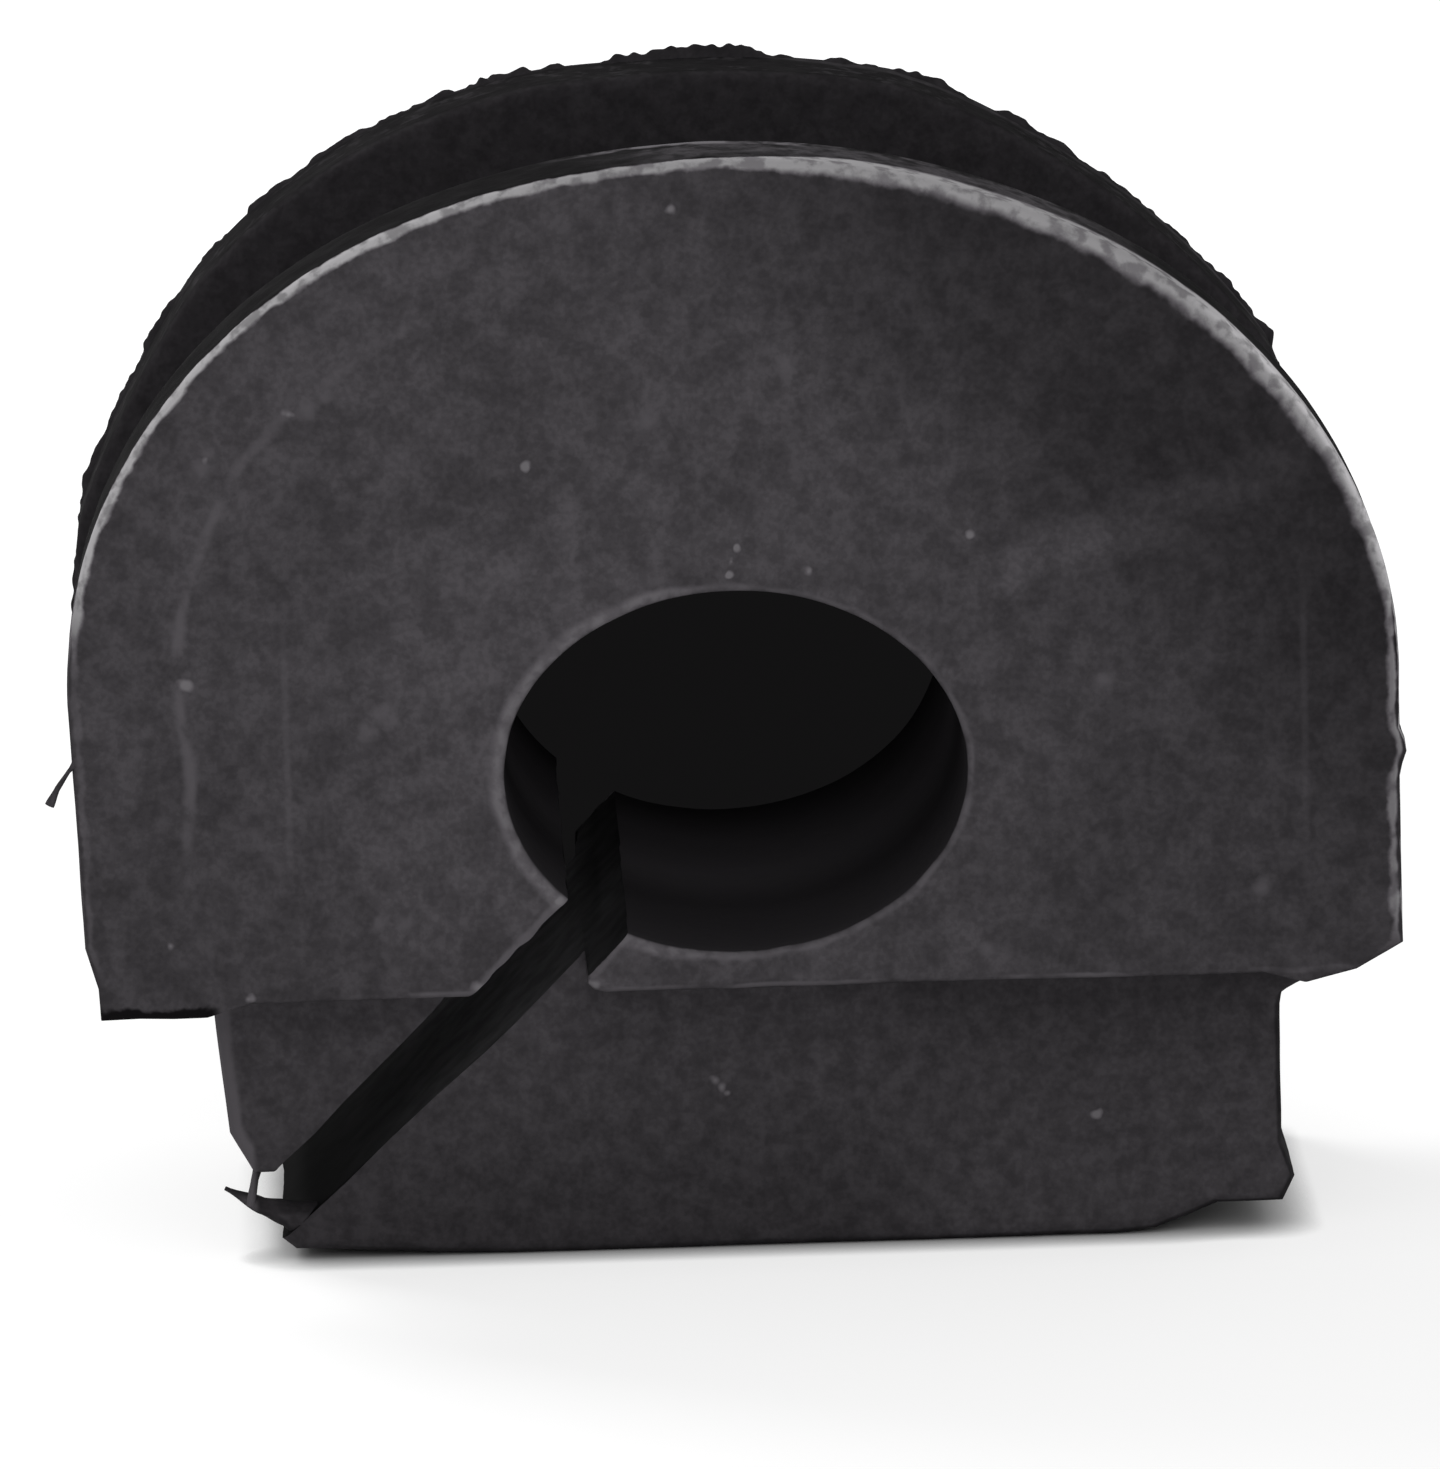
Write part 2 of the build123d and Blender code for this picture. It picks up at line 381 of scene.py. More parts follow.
# A nib of rubber stands on the front flange's right side
NIB_HEIGHT = 24.6 * MM
NIB_REACH = 0.32 * MM
NIB_HALF_LENGTH = 0.9 * MM
NIB_SKIN = 1.0 * MM
for vert in bm.verts:
    if vert.co.x > flange_half_width - NIB_SKIN and vert.co.y < -channel_end:
        share = max(0.0, 1.0 - ((vert.co.z - NIB_HEIGHT) / NIB_HALF_LENGTH) ** 2)
        vert.co.x += NIB_REACH * share

# Torn flash: a low ragged fin that the mould's joint left round the rear flange's rim. It stands
# highest over the crown, and one tooth of it is left on the right shoulder.
FLASH_FROM = 33.0
FLASH_TO = 219.0
FLASH_STEPS = 900
FLASH_FOOT = 0.25 * MM
FLASH_LEAST = 0.03
FLASH_MOST = 0.66
COARSE_TEAR = 1.2 * MM
FINE_TEAR = 0.4 * MM
LUMP_SIZE = 2.4 * MM
FLASH_MEAN = 0.27
COARSE_SHARE = 0.3
FINE_SHARE = 0.22
LUMP_SHARE = 0.19
CROWN_LEAST = 0.55
CROWN_RISE = 0.65
CREST_X = -4.5 * MM
CREST_SPREAD = 9.5 * MM
TOOTH_AT = 28.0
TOOTH_SPREAD = 1.0
TOOTH_HEIGHT = 0.25 * MM
FLASH_Y = (15.75 * MM, 16.5 * MM, 16.3 * MM)
rows = []
for k in range(FLASH_STEPS + 1):
    start, heading = ray_at(FLASH_FROM + (FLASH_TO - FLASH_FROM) * k / FLASH_STEPS)
    reach = outline_reach(start, heading, flange_half_width, flange_top, flange_corners)
    reach += bulge(heading, REAR_BULGES)
    rim = start + heading * reach
    coarse = noise.noise(Vector((rim.x, rim.y, 0.0)) / COARSE_TEAR)
    fine = noise.noise(Vector((rim.x, rim.y, 5.0 * MM)) / FINE_TEAR)
    lumps = noise.noise(Vector((rim.x, rim.y, 9.0 * MM)) / LUMP_SIZE)
    lumps = min(1.0, max(-1.0, 3.0 * lumps))
    crown = CROWN_LEAST + CROWN_RISE * math.exp(-(((rim.x - CREST_X) / CREST_SPREAD) ** 4))
    ragged = FLASH_MEAN + LUMP_SHARE * lumps + COARSE_SHARE * coarse + FINE_SHARE * fine
    tall = min(FLASH_MOST, max(FLASH_LEAST, ragged * crown)) * MM
    from_tooth = (math.degrees(math.atan2(heading.y, heading.x)) - TOOTH_AT) / TOOTH_SPREAD
    tall += TOOTH_HEIGHT * math.exp(-(from_tooth**4))
    reach_of = (reach - FLASH_FOOT, reach - FLASH_FOOT, reach + tall)
    row = []
    for out_to, y in zip(reach_of, FLASH_Y):
        point = start + heading * out_to
        vert = bm.verts.new((point.x, y, point.y))
        for layer, gap in zip(gap_layers, FLASH_GAPS):
            vert[layer] = gap
        row.append(vert)
    rows.append(row)
for before, after in zip(rows, rows[1:]):
    for k in range(3):
        bm.faces.new((before[k - 1], before[k], after[k], after[k - 1]))
bm.faces.new(rows[0])
bm.faces.new(reversed(rows[-1]))


def tapered(points, half_heights, half_depth, sides=10, steps=7):
    """A soft-edged strand through points, with a half height at each, flattened along Y."""
    spine = []
    for k in range(len(points) - 1):
        for part in range(steps):
            spine.append((k, part / steps))
    spine.append((len(points) - 2, 1.0))
    rings = []
    for k, share in spine:
        eased = share * share * (3 - 2 * share)
        middle = points[k].lerp(points[k + 1], share)
        half_height = half_heights[k] + (half_heights[k + 1] - half_heights[k]) * eased
        run_on = points[k + 1] - points[k]
        upward = Vector((-run_on.z, 0.0, run_on.x)).normalized()
        ring = []
        for side in range(sides):
            turn = 2 * math.pi * side / sides
            lift = upward * half_height * math.sin(turn)
            depth = Vector((0.0, min(half_depth, half_height * 1.6) * math.cos(turn), 0.0))
            ring.append(bm.verts.new(middle + lift + depth))
            for layer, gap in zip(gap_layers, STRAND_GAPS):
                ring[-1][layer] = gap
        rings.append(ring)
    for before, after in zip(rings, rings[1:]):
        for side in range(sides):
            bm.faces.new((before[side - 1], before[side], after[side], after[side - 1]))
    bm.faces.new(rings[0])
    bm.faces.new(reversed(rings[-1]))


# The torn sliver across the slit's mouth, the hair beside it, and a whisker at the left side.
# Each has its line in X and Z, its half height at each point, its place in Y and its half depth.
SLIVER_Y = -9.9
SLIVER_HALF_DEPTH = 1.1 * MM
HAIR_Y = -10.3
HAIR_HALF_DEPTH = 0.3 * MM
WHISKER_Y = -16.6
WHISKER_HALF_DEPTH = 0.25 * MM
sliver_line = ((-19.6, 1.5), (-21.0, 1.75), (-22.0, 2.2), (-23.2, 2.6), (-24.9, 3.5))
sliver_halves = (1.1, 1.0, 0.62, 0.4, 0.1)
tapered(
    [Vector((x, SLIVER_Y, z)) * MM for x, z in sliver_line],
    [half * MM for half in sliver_halves],
    SLIVER_HALF_DEPTH,
)
hair_line = ((-23.2, 4.9), (-23.45, 4.0), (-23.7, 2.7))
hair_halves = (0.26, 0.19, 0.24)
tapered(
    [Vector((x, HAIR_Y, z)) * MM for x, z in hair_line],
    [half * MM for half in hair_halves],
    HAIR_HALF_DEPTH,
)
whisker_line = ((-30.9, 26.2), (-31.55, 25.5), (-32.1, 24.7), (-32.5, 23.9))
whisker_halves = (0.3, 0.1, 0.14, 0.24)
tapered(
    [Vector((x, WHISKER_Y, z)) * MM for x, z in whisker_line],
    [half * MM for half in whisker_halves],
    WHISKER_HALF_DEPTH,
)
bmesh.ops.recalc_face_normals(bm, faces=bm.faces)

CREASE = math.radians(40.0)
for face in bm.faces:
    face.smooth = True
for edge in bm.edges:
    edge.smooth = len(edge.link_faces) == 2 and edge.calc_face_angle() < CREASE

moulding_mesh = bpy.data.meshes.new("rubber_moulding")
bm.to_mesh(moulding_mesh)
bm.free()
moulding = bpy.data.objects.new("rubber_moulding", moulding_mesh)
bpy.context.collection.objects.link(moulding)
print("moulding", len(moulding_mesh.vertices), len(moulding_mesh.polygons))

# Black rubber. Its moulded faces are greyed and mottled, with painted light and shade across them, its
# edges are rubbed pale and carry painted highlights, the rims' tops carry painted shade, and the parts
# that nothing rubs stay black.
SHEEN = 0.02
rubber = bpy.data.materials.new("black_rubber")
rubber.use_nodes = True
nodes = rubber.node_tree.nodes
links = rubber.node_tree.links
shader = nodes["Principled BSDF"]
shader.inputs["Specular IOR Level"].default_value = SHEEN
place = nodes.new("ShaderNodeTexCoord").outputs["Object"]


def feed(socket, source):
    """Sets a socket to a number, or links it to an output."""
    if isinstance(source, (int, float)):
        socket.default_value = source
    else:
        links.new(source, socket)


def worked(operation, first, second=0.0):
    """One math node."""
    node = nodes.new("ShaderNodeMath")
    node.operation = operation
    feed(node.inputs[0], first)
    feed(node.inputs[1], second)
    return node.outputs[0]


def ramp(value, start, end, low=0.0, high=1.0):
    """A smooth step from low to high as a value goes from start to end."""
    node = nodes.new("ShaderNodeMapRange")
    node.interpolation_type = "SMOOTHSTEP"
    feed(node.inputs["Value"], value)
    feed(node.inputs["From Min"], start)
    feed(node.inputs["From Max"], end)
    feed(node.inputs["To Min"], low)
    feed(node.inputs["To Max"], high)
    return node.outputs["Result"]


def blended(base, other, share):
    """A number that goes from base to other with share."""
    node = nodes.new("ShaderNodeMix")
    feed(node.inputs["Factor"], share)
    feed(node.inputs["A"], base)
    feed(node.inputs["B"], other)
    return node.outputs["Result"]


def cloud(grain, detail=3.0):
    """Noise with grains about so many millimetres wide."""
    node = nodes.new("ShaderNodeTexNoise")
    node.inputs["Scale"].default_value = 1.0 / (grain * MM)
    node.inputs["Detail"].default_value = detail
    links.new(place, node.inputs["Vector"])
    return node.outputs["Fac"]


def distance(name):
    """One of the distances that the mesh carries, in millimetres."""
    node = nodes.new("ShaderNodeAttribute")
    node.attribute_name = name
    return node.outputs["Fac"]


# A soft line at a set distance, which every rubbed edge, mark, painted highlight and painted shade
# shares
line_group = bpy.data.node_groups.new("soft_line", "ShaderNodeTree")
for socket_name in ("Distance", "Middle", "Half Width", "Softness", "Wander"):
    line_group.interface.new_socket(socket_name, in_out="INPUT", socket_type="NodeSocketFloat")
line_group.interface.new_socket("Mask", in_out="OUTPUT", socket_type="NodeSocketFloat")
into = line_group.nodes.new("NodeGroupInput")
out = line_group.nodes.new("NodeGroupOutput")
wobble = line_group.nodes.new("ShaderNodeMath")
wobble.operation = "ADD"
line_group.links.new(into.outputs["Distance"], wobble.inputs[0])
line_group.links.new(into.outputs["Wander"], wobble.inputs[1])
off = line_group.nodes.new("ShaderNodeMath")
off.operation = "SUBTRACT"
line_group.links.new(wobble.outputs[0], off.inputs[0])
line_group.links.new(into.outputs["Middle"], off.inputs[1])
size = line_group.nodes.new("ShaderNodeMath")
size.operation = "ABSOLUTE"
line_group.links.new(off.outputs[0], size.inputs[0])
outer = line_group.nodes.new("ShaderNodeMath")
outer.operation = "ADD"
line_group.links.new(into.outputs["Half Width"], outer.inputs[0])
line_group.links.new(into.outputs["Softness"], outer.inputs[1])
step = line_group.nodes.new("ShaderNodeMapRange")
step.interpolation_type = "SMOOTHSTEP"
step.inputs["To Min"].default_value = 1.0
step.inputs["To Max"].default_value = 0.0
line_group.links.new(size.outputs[0], step.inputs["Value"])
line_group.links.new(into.outputs["Half Width"], step.inputs["From Min"])
line_group.links.new(outer.outputs[0], step.inputs["From Max"])
line_group.links.new(step.outputs["Result"], out.inputs["Mask"])


def soft_line(gap, middle, half_width, softness, wander=0.0):
    """Where a distance lies within a line's half width of its middle, its edges soft."""
    node = nodes.new("ShaderNodeGroup")
    node.node_tree = line_group
    feed(node.inputs["Distance"], gap)
    feed(node.inputs["Middle"], middle)
    feed(node.inputs["Half Width"], half_width)
    feed(node.inputs["Softness"], softness)
    feed(node.inputs["Wander"], wander)
    return node.outputs["Mask"]


FACE_Y = -17.0
FOOT_Y = -11.0
fleck_edge = ramp(cloud(0.7, 1.0), 0.3, 0.7, -0.12, 0.12)


def fleck(x, z, radius, y=FACE_Y, core=0.25):
    """A small soft fleck on a face, by its place, radius and even core, in millimetres."""
    node = nodes.new("ShaderNodeVectorMath")
    node.operation = "DISTANCE"
    links.new(place, node.inputs[0])
    node.inputs[1].default_value = (x * MM, y * MM, z * MM)
    away = worked("MULTIPLY", node.outputs["Value"], 1.0 / MM)
    return ramp(worked("ADD", away, fleck_edge), radius * core, radius * 1.3, 1.0, 0.0)


axes = nodes.new("ShaderNodeSeparateXYZ")
links.new(place, axes.inputs[0])
across = worked("MULTIPLY", axes.outputs["X"], 1.0 / MM)
along = worked("MULTIPLY", axes.outputs["Y"], 1.0 / MM)
height = worked("MULTIPLY", axes.outputs["Z"], 1.0 / MM)
edge = distance("edge_gap")
hole_edge = distance("hole_gap")
imprint = distance("saddle_gap")
slit_edge = distance("slit_gap")

# Tones, as how much light the rubber gives back
FACE_DARK = 0.05
FACE_LIGHT = 0.058
FOOT_TONE = 0.048
UNWORN = 0.022
BACK_RIM_SHADE = 0.007
HOLE_TONE = 0.026
HOLE_MIDDLE_PAINTED_LIGHT = 0.085
RING_HIGHLIGHT_TONE = 0.1
RING_LEFT_HIGHLIGHT_TONE = 0.15
SCUFF_TONE = 0.045
RIM_SHADE_TONE = 0.006
HIGHLIGHT_LINE_TONE = 0.34
LINE_GLARE = 0.6
STRIP_TONE = 0.1
MARK_TONE = 0.092
SCRATCH_TONE = 0.09
FAR_EDGE_TONE = 0.13
FLECK_TONE = 0.17
PAINTED_LIGHT_SPOT = (-9 * MM, -half_length, 38 * MM)
SHOULDER_SHADE = 0.54
HOLE_BLOOM = 0.15
SMEAR_SLOPE = 0.36
SMEAR_HEIGHT = 29.1
SMEAR_BLOOM = 0.38

# The moulded faces are mottled all over, with painted light making them greyest above the hole on the
# left and painted shade making them darker over the right shoulder, and greyer round the hole's lower
# left. A smear crosses the front to the right of the hole.
mottle = blended(0.83, 1.17, ramp(cloud(1.1, 4.0), 0.32, 0.68))
mottle = worked("MULTIPLY", mottle, blended(0.9, 1.1, ramp(cloud(0.3, 2.0), 0.35, 0.65)))
bloom_and_painted_light = worked("MULTIPLY", blended(FACE_DARK, FACE_LIGHT, ramp(cloud(6.0), 0.35, 0.65)), mottle)
greyest = nodes.new("ShaderNodeVectorMath")
greyest.operation = "DISTANCE"
links.new(place, greyest.inputs[0])
greyest.inputs[1].default_value = PAINTED_LIGHT_SPOT
bloom_and_painted_light = worked("MULTIPLY", bloom_and_painted_light, ramp(greyest.outputs["Value"], 4 * MM, 46 * MM, 1.03, 0.8))
shoulder = ramp(worked("ADD", across, height), 44.0, 62.0, 1.0, SHOULDER_SHADE)
bloom_and_painted_light = worked("MULTIPLY", bloom_and_painted_light, shoulder)
by_hole = worked("MULTIPLY", ramp(hole_edge, 9.0, 3.0), ramp(worked("ADD", across, height), 44.0, 24.0))
bloom_and_painted_light = worked("MULTIPLY", bloom_and_painted_light, worked("ADD", worked("MULTIPLY", by_hole, HOLE_BLOOM), 1.0))
smear = worked("SUBTRACT", height, worked("MULTIPLY", across, SMEAR_SLOPE))
smear = soft_line(smear, SMEAR_HEIGHT, 0.2, 1.6)
smear = worked("MULTIPLY", smear, soft_line(across, 19.0, 5.0, 5.0))
smear = worked("MULTIPLY", smear, ramp(along, 0.0, -5.0))
bloom_and_painted_light = worked("MULTIPLY", bloom_and_painted_light, worked("ADD", worked("MULTIPLY", smear, SMEAR_BLOOM), 1.0))

depth = worked("ABSOLUTE", along)
over_arch = ramp(height, 25.0, 34.0)
end_face = ramp(depth, 16.5, 16.95)
near_end = ramp(depth, 14.6, 15.4)
step_face = worked("MULTIPLY", soft_line(depth, 11.0, 0.1, 0.15), ramp(edge, -5.8, -6.4))
front = ramp(along, -10.5, -8.0, 1.0, 0.0)
front_face = worked("MULTIPLY", end_face, front)
front_rim = worked("MULTIPLY", ramp(along, -11.35, -11.15, 1.0, 0.0), ramp(edge, -6.3, -5.9))
front_rim = worked("MULTIPLY", front_rim, over_arch)
crumbs = worked("MULTIPLY", ramp(cloud(0.7, 5.0), 0.5, 0.68), ramp(cloud(3.0), 0.4, 0.6))

tone = worked("MULTIPLY", mottle, UNWORN)
# Painted shade: the tops of both flanges' rims over the arch are darker than the unworn rubber, the rear
# one with pale crumbs.
back_rim_shade_and_crumbs = worked("MULTIPLY", blended(BACK_RIM_SHADE, 0.02, crumbs), mottle)
tone = blended(tone, back_rim_shade_and_crumbs, worked("MULTIPLY", ramp(along, 11.1, 11.7), over_arch))
tone = blended(tone, worked("MULTIPLY", mottle, RIM_SHADE_TONE), front_rim)
tone = blended(tone, worked("MULTIPLY", mottle, UNWORN), ramp(edge, -8.0, -8.8))
tone = blended(tone, UNWORN, worked("MULTIPLY", crumbs, ramp(along, 10.7, 10.95)))
# The foot is greyed like the faces; on its left, painted shade darkens it towards the floor and painted
# light lifts it towards the flange above.
foot_light_and_shade = blended(ramp(height, 1.0, 13.0, 0.72, 1.25), 1.03, ramp(across, 4.0, 12.0))
foot_grey_and_painted_light = worked("MULTIPLY", worked("MULTIPLY", mottle, FOOT_TONE), foot_light_and_shade)
tone = blended(tone, foot_grey_and_painted_light, step_face)
scuffs = soft_line(edge, -3.2, 1.4, 1.6, ramp(cloud(2.4), 0.3, 0.7, -1.4, 1.4))
scuffs = worked("MULTIPLY", scuffs, ramp(cloud(1.2), 0.35, 0.6, 0.35, 1.0))
scuffs = worked("MULTIPLY", worked("MULTIPLY", scuffs, front_rim), soft_line(across, 7.0, 9.0, 5.0))
# Painted light: the flange's rounded corner beside the slit, which lies in shade, is lifted to the
# foot's grey.
slit_corner_painted_light = worked("MULTIPLY", ramp(slit_edge, 2.6, 1.2), ramp(height, 17.0, 16.2))
tone = blended(tone, foot_grey_and_painted_light, worked("MULTIPLY", slit_corner_painted_light, front))
tone = blended(tone, worked("MULTIPLY", mottle, SCUFF_TONE), scuffs)
tone = blended(tone, bloom_and_painted_light, end_face)

# The left edge of the foot is rubbed grey, and so is the hair that hangs from it
left_strip = soft_line(imprint, -0.3, 0.2, 0.4, ramp(cloud(2.0), 0.3, 0.7, -0.12, 0.12))
left_strip = worked("MULTIPLY", left_strip, ramp(across, -23.2, -23.6))
left_strip = worked("MULTIPLY", left_strip, ramp(height, 13.4, 12.8))
left_strip = worked("MULTIPLY", left_strip, ramp(along, -10.0, -10.6))
tone = blended(tone, STRIP_TONE, worked("MULTIPLY", left_strip, 0.8))

# The saddle's outline shows faintly through the face, and swings outwards over the left shoulder.
# An upright scratch stands on either side of the hole.
left_side = worked("MULTIPLY", ramp(across, -12.0, -18.0), ramp(height, 46.0, 34.0, 0.4, 0.85))
left_side = worked("MULTIPLY", left_side, ramp(height, 18.3, 25.0, 0.0, 1.0))
swing = ramp(height, 24.0, 46.0, 0.35, 1.9)
outline_mark = soft_line(imprint, swing, 0.04, 0.4, ramp(cloud(4.0), 0.3, 0.7, -0.2, 0.2))
outline_mark = worked("MULTIPLY", outline_mark, ramp(cloud(2.4, 5.0), 0.36, 0.6))
outline_mark = worked("MULTIPLY", worked("MULTIPLY", outline_mark, left_side), front_face)
tone = blended(tone, MARK_TONE, outline_mark)
mark_reach = worked("MULTIPLY", soft_line(height, 26.0, 3.0, 6.0), front_face)
SCRATCHES = ((-21.2, 0.3), (27.0, 0.18))
for scratch_x, share in SCRATCHES:
    scratch = worked("MULTIPLY", soft_line(across, scratch_x, 0.03, 0.25), mark_reach)
    tone = blended(tone, SCRATCH_TONE, worked("MULTIPLY", scratch, share))

# The front flange's edge is rubbed pale and carries a painted highlight where light catches its rounded
# edge: in one line round its arch, with a painted glare broadest over its right shoulder, and in two
# thin ones down its sides. The far edge of its crown is rubbed here and there.
broad = worked("MULTIPLY", ramp(across, -2.0, 12.0), ramp(height, 30.0, 38.0))
arched = ramp(height, 30.0, 35.0)
wander = ramp(cloud(1.8), 0.3, 0.7, -0.1, 0.1)
line_middle = blended(0.3, blended(-0.05, -1.0, broad), arched)
line_width = blended(0.07, blended(0.24, 1.35, broad), arched)
line_width = worked("ADD", line_width, ramp(cloud(1.1), 0.3, 0.7, -0.1, 0.08))
line_softness = blended(0.3, 0.65, broad)
first = soft_line(edge, line_middle, line_width, line_softness, wander)
first = worked("MULTIPLY", first, blended(0.5, 1.0, ramp(cloud(0.9, 5.0), 0.36, 0.56)))
second = soft_line(edge, -0.35, 0.07, 0.15, worked("MULTIPLY", wander, -1.5))
second = worked("MULTIPLY", second, worked("SUBTRACT", 1.0, arched))
lines = worked("MAXIMUM", first, worked("MULTIPLY", second, ramp(cloud(2.9), 0.35, 0.6, 0.3, 1.0)))
side_share = blended(0.07, 0.5, ramp(across, -5.0, 5.0))
lines = worked("MULTIPLY", lines, blended(side_share, 1.0, arched))
lines = worked("MULTIPLY", lines, ramp(height, 14.6, 17.0))
rubbed_and_highlight = worked("MULTIPLY", worked("MULTIPLY", blended(0.06, 1.0, front), near_end), lines)
glare_spot = worked("MULTIPLY", ramp(across, 20.0, 26.0), ramp(edge, 0.4, -0.2))
highlight_line_tone = ramp(across, -14.0, -6.0, HIGHLIGHT_LINE_TONE * 1.2, HIGHLIGHT_LINE_TONE * 0.9)
tone = blended(tone, blended(highlight_line_tone, LINE_GLARE, glare_spot), rubbed_and_highlight)
far_edge = worked("MULTIPLY", soft_line(edge, -5.5, 0.5, 0.5), ramp(cloud(2.2), 0.42, 0.56))
far_edge = worked("MULTIPLY", worked("MULTIPLY", far_edge, front), ramp(height, 47.0, 50.0))
far_edge = worked("MULTIPLY", far_edge, ramp(across, 10.0, 6.0))
far_edge = worked("MULTIPLY", far_edge, ramp(along, -11.1, -11.25))
tone = blended(tone, FAR_EDGE_TONE, worked("MULTIPLY", far_edge, ramp(across, -9.0, -4.0)))

# A thin painted highlight along the flange's foot and the slit, where their edges catch light, and a
# strip of painted shade under the left wing
FOOT_LINE_HEIGHT = 14.16
DASH_X = -14.2
foot_highlight = soft_line(height, FOOT_LINE_HEIGHT, 0.05, 0.2, wander)
foot_highlight = worked("MULTIPLY", foot_highlight, ramp(cloud(5.0), 0.45, 0.6, 0.12, 1.0))
foot_highlight = worked("MULTIPLY", foot_highlight, ramp(across, -20.0, -16.0))
foot_highlight = worked("MAXIMUM", foot_highlight, soft_line(across, DASH_X, 1.3, 0.5))
foot_highlight = worked("MULTIPLY", foot_highlight, soft_line(height, FOOT_LINE_HEIGHT, 0.1, 0.2))
slit_highlight = soft_line(slit_edge, 0.08, 0.08, 0.25, wander)
highlight_lines = worked("MULTIPLY", worked("MAXIMUM", foot_highlight, slit_highlight), front_face)
tone = blended(tone, STRIP_TONE, worked("MULTIPLY", highlight_lines, ramp(cloud(1.5), 0.3, 0.6, 0.4, 0.9)))
strip_edge = worked("ADD", height, ramp(cloud(0.9), 0.3, 0.7, -0.12, 0.16))
wing_shade_strip = worked("MULTIPLY", ramp(strip_edge, 14.12, 13.84), ramp(across, -24.6, -25.2))
tone = blended(tone, RIM_SHADE_TONE, worked("MULTIPLY", wing_shade_strip, near_end))

# The hole's edge carries a painted highlight where light catches its rounded mouth, a little paler than
# the face and broadest on its left. Inside the hole the rubber is dark, and painted light makes it
# greyest behind its middle, against the shade deep in the hole.
hole_left = ramp(across, 2.0, -6.0)
hole_highlight = soft_line(
    hole_edge,
    blended(0.03, 0.2, hole_left),
    blended(0.12, 0.2, hole_left),
    blended(0.3, 0.5, hole_left),
    ramp(cloud(2.0), 0.3, 0.7, -0.12, 0.12),
)
hole_highlight = worked("MULTIPLY", hole_highlight, ramp(cloud(1.0), 0.38, 0.62, 0.4, 1.0))
hole_tone_and_painted_light = blended(HOLE_TONE, HOLE_MIDDLE_PAINTED_LIGHT, soft_line(along, 6.0, 3.0, 10.0))
tone = blended(tone, hole_tone_and_painted_light, ramp(hole_edge, -0.15, -0.4))
ring_highlight_tone = blended(RING_HIGHLIGHT_TONE, RING_LEFT_HIGHLIGHT_TONE, hole_left)
tone = blended(tone, ring_highlight_tone, worked("MULTIPLY", hole_highlight, 0.85))

# Pale flecks on the face and on the foot, and fainter soft specks, each by X, Z and radius
FACE_FLECKS = (
    (-2.4, 51.6, 0.28), (-9.5, 39.55, 0.22), (3.7, 34.1, 0.25), (11.3, 35.6, 0.22),
    (-24.55, 40.4, 0.2), (-25.9, 29.6, 0.33), (-0.1, 34.0, 0.18), (0.05, 34.7, 0.17),
    (0.3, 35.4, 0.17), (-20.6, 42.4, 0.25), (-27.0, 17.0, 0.25), (-7.0, 14.5, 0.3),
    (-12.4, 14.5, 0.35), (-8.6, 18.6, 0.2), (-23.4, 14.3, 0.25),
)
FOOT_FLECKS = ((-1.25, 8.3, 0.32), (-0.95, 7.95, 0.3), (-0.65, 7.65, 0.24), (17.0, 6.1, 0.22))
SOFT_SPECKS = (
    (-16.6, 27.8, 0.5), (-17.3, 27.0, 0.45), (-15.9, 17.8, 0.4), (-17.1, 17.8, 0.35),
    (6.7, 17.5, 0.35), (6.0, 17.1, 0.25), (-2.4, 16.1, 0.3), (-0.8, 15.7, 0.3),
    (0.2, 15.7, 0.3), (1.1, 15.7, 0.25), (11.7, 15.6, 0.3), (24.8, 18.1, 0.4),
    (-3.8, 41.5, 0.5), (2.8, 44.0, 0.4), (-19.8, 42.6, 0.5), (17.5, 28.5, 0.4),
    (-24.8, 39.9, 0.5), (-24.4, 40.6, 0.35), (-18.9, 43.2, 0.35),
)
flecks = 0.0
for x, z, radius in FACE_FLECKS:
    flecks = worked("MAXIMUM", fleck(x, z, radius), flecks)
for x, z, radius in FOOT_FLECKS:
    flecks = worked("MAXIMUM", fleck(x, z, radius, FOOT_Y), flecks)
tone = blended(tone, FLECK_TONE, worked("MULTIPLY", flecks, 0.8))
specks = 0.0
for x, z, radius in SOFT_SPECKS:
    specks = worked("MAXIMUM", fleck(x, z, radius * 1.3, core=0.0), specks)
tone = blended(tone, SCRATCH_TONE, worked("MULTIPLY", specks, 0.7))

# The black has a touch of violet, which the rubbed edges, the painted highlights and the flecks lose
BLACK_TINT = (1.04, 0.965, 1.055)
PALE_TINT = (1.015, 0.992, 1.02)
PIT_DEPTH = 0.04 * MM
tinge = nodes.new("ShaderNodeMix")
tinge.data_type = "VECTOR"
tinge.inputs[4].default_value = BLACK_TINT
tinge.inputs[5].default_value = PALE_TINT
links.new(ramp(tone, 0.07, 0.25), tinge.inputs[0])
tint = nodes.new("ShaderNodeVectorMath")
tint.operation = "SCALE"
links.new(tinge.outputs[1], tint.inputs[0])
links.new(tone, tint.inputs["Scale"])
links.new(tint.outputs["Vector"], shader.inputs["Base Color"])
links.new(ramp(cloud(2.0), 0.25, 0.75, 0.76, 0.92), shader.inputs["Roughness"])
pits = nodes.new("ShaderNodeBump")
pits.inputs["Strength"].default_value = 0.6
pits.inputs["Distance"].default_value = PIT_DEPTH
links.new(worked("ADD", cloud(0.5, 4.0), worked("MULTIPLY", rubbed_and_highlight, 2.0)), pits.inputs["Height"])
links.new(pits.outputs["Normal"], shader.inputs["Normal"])
moulding_mesh.materials.append(rubber)

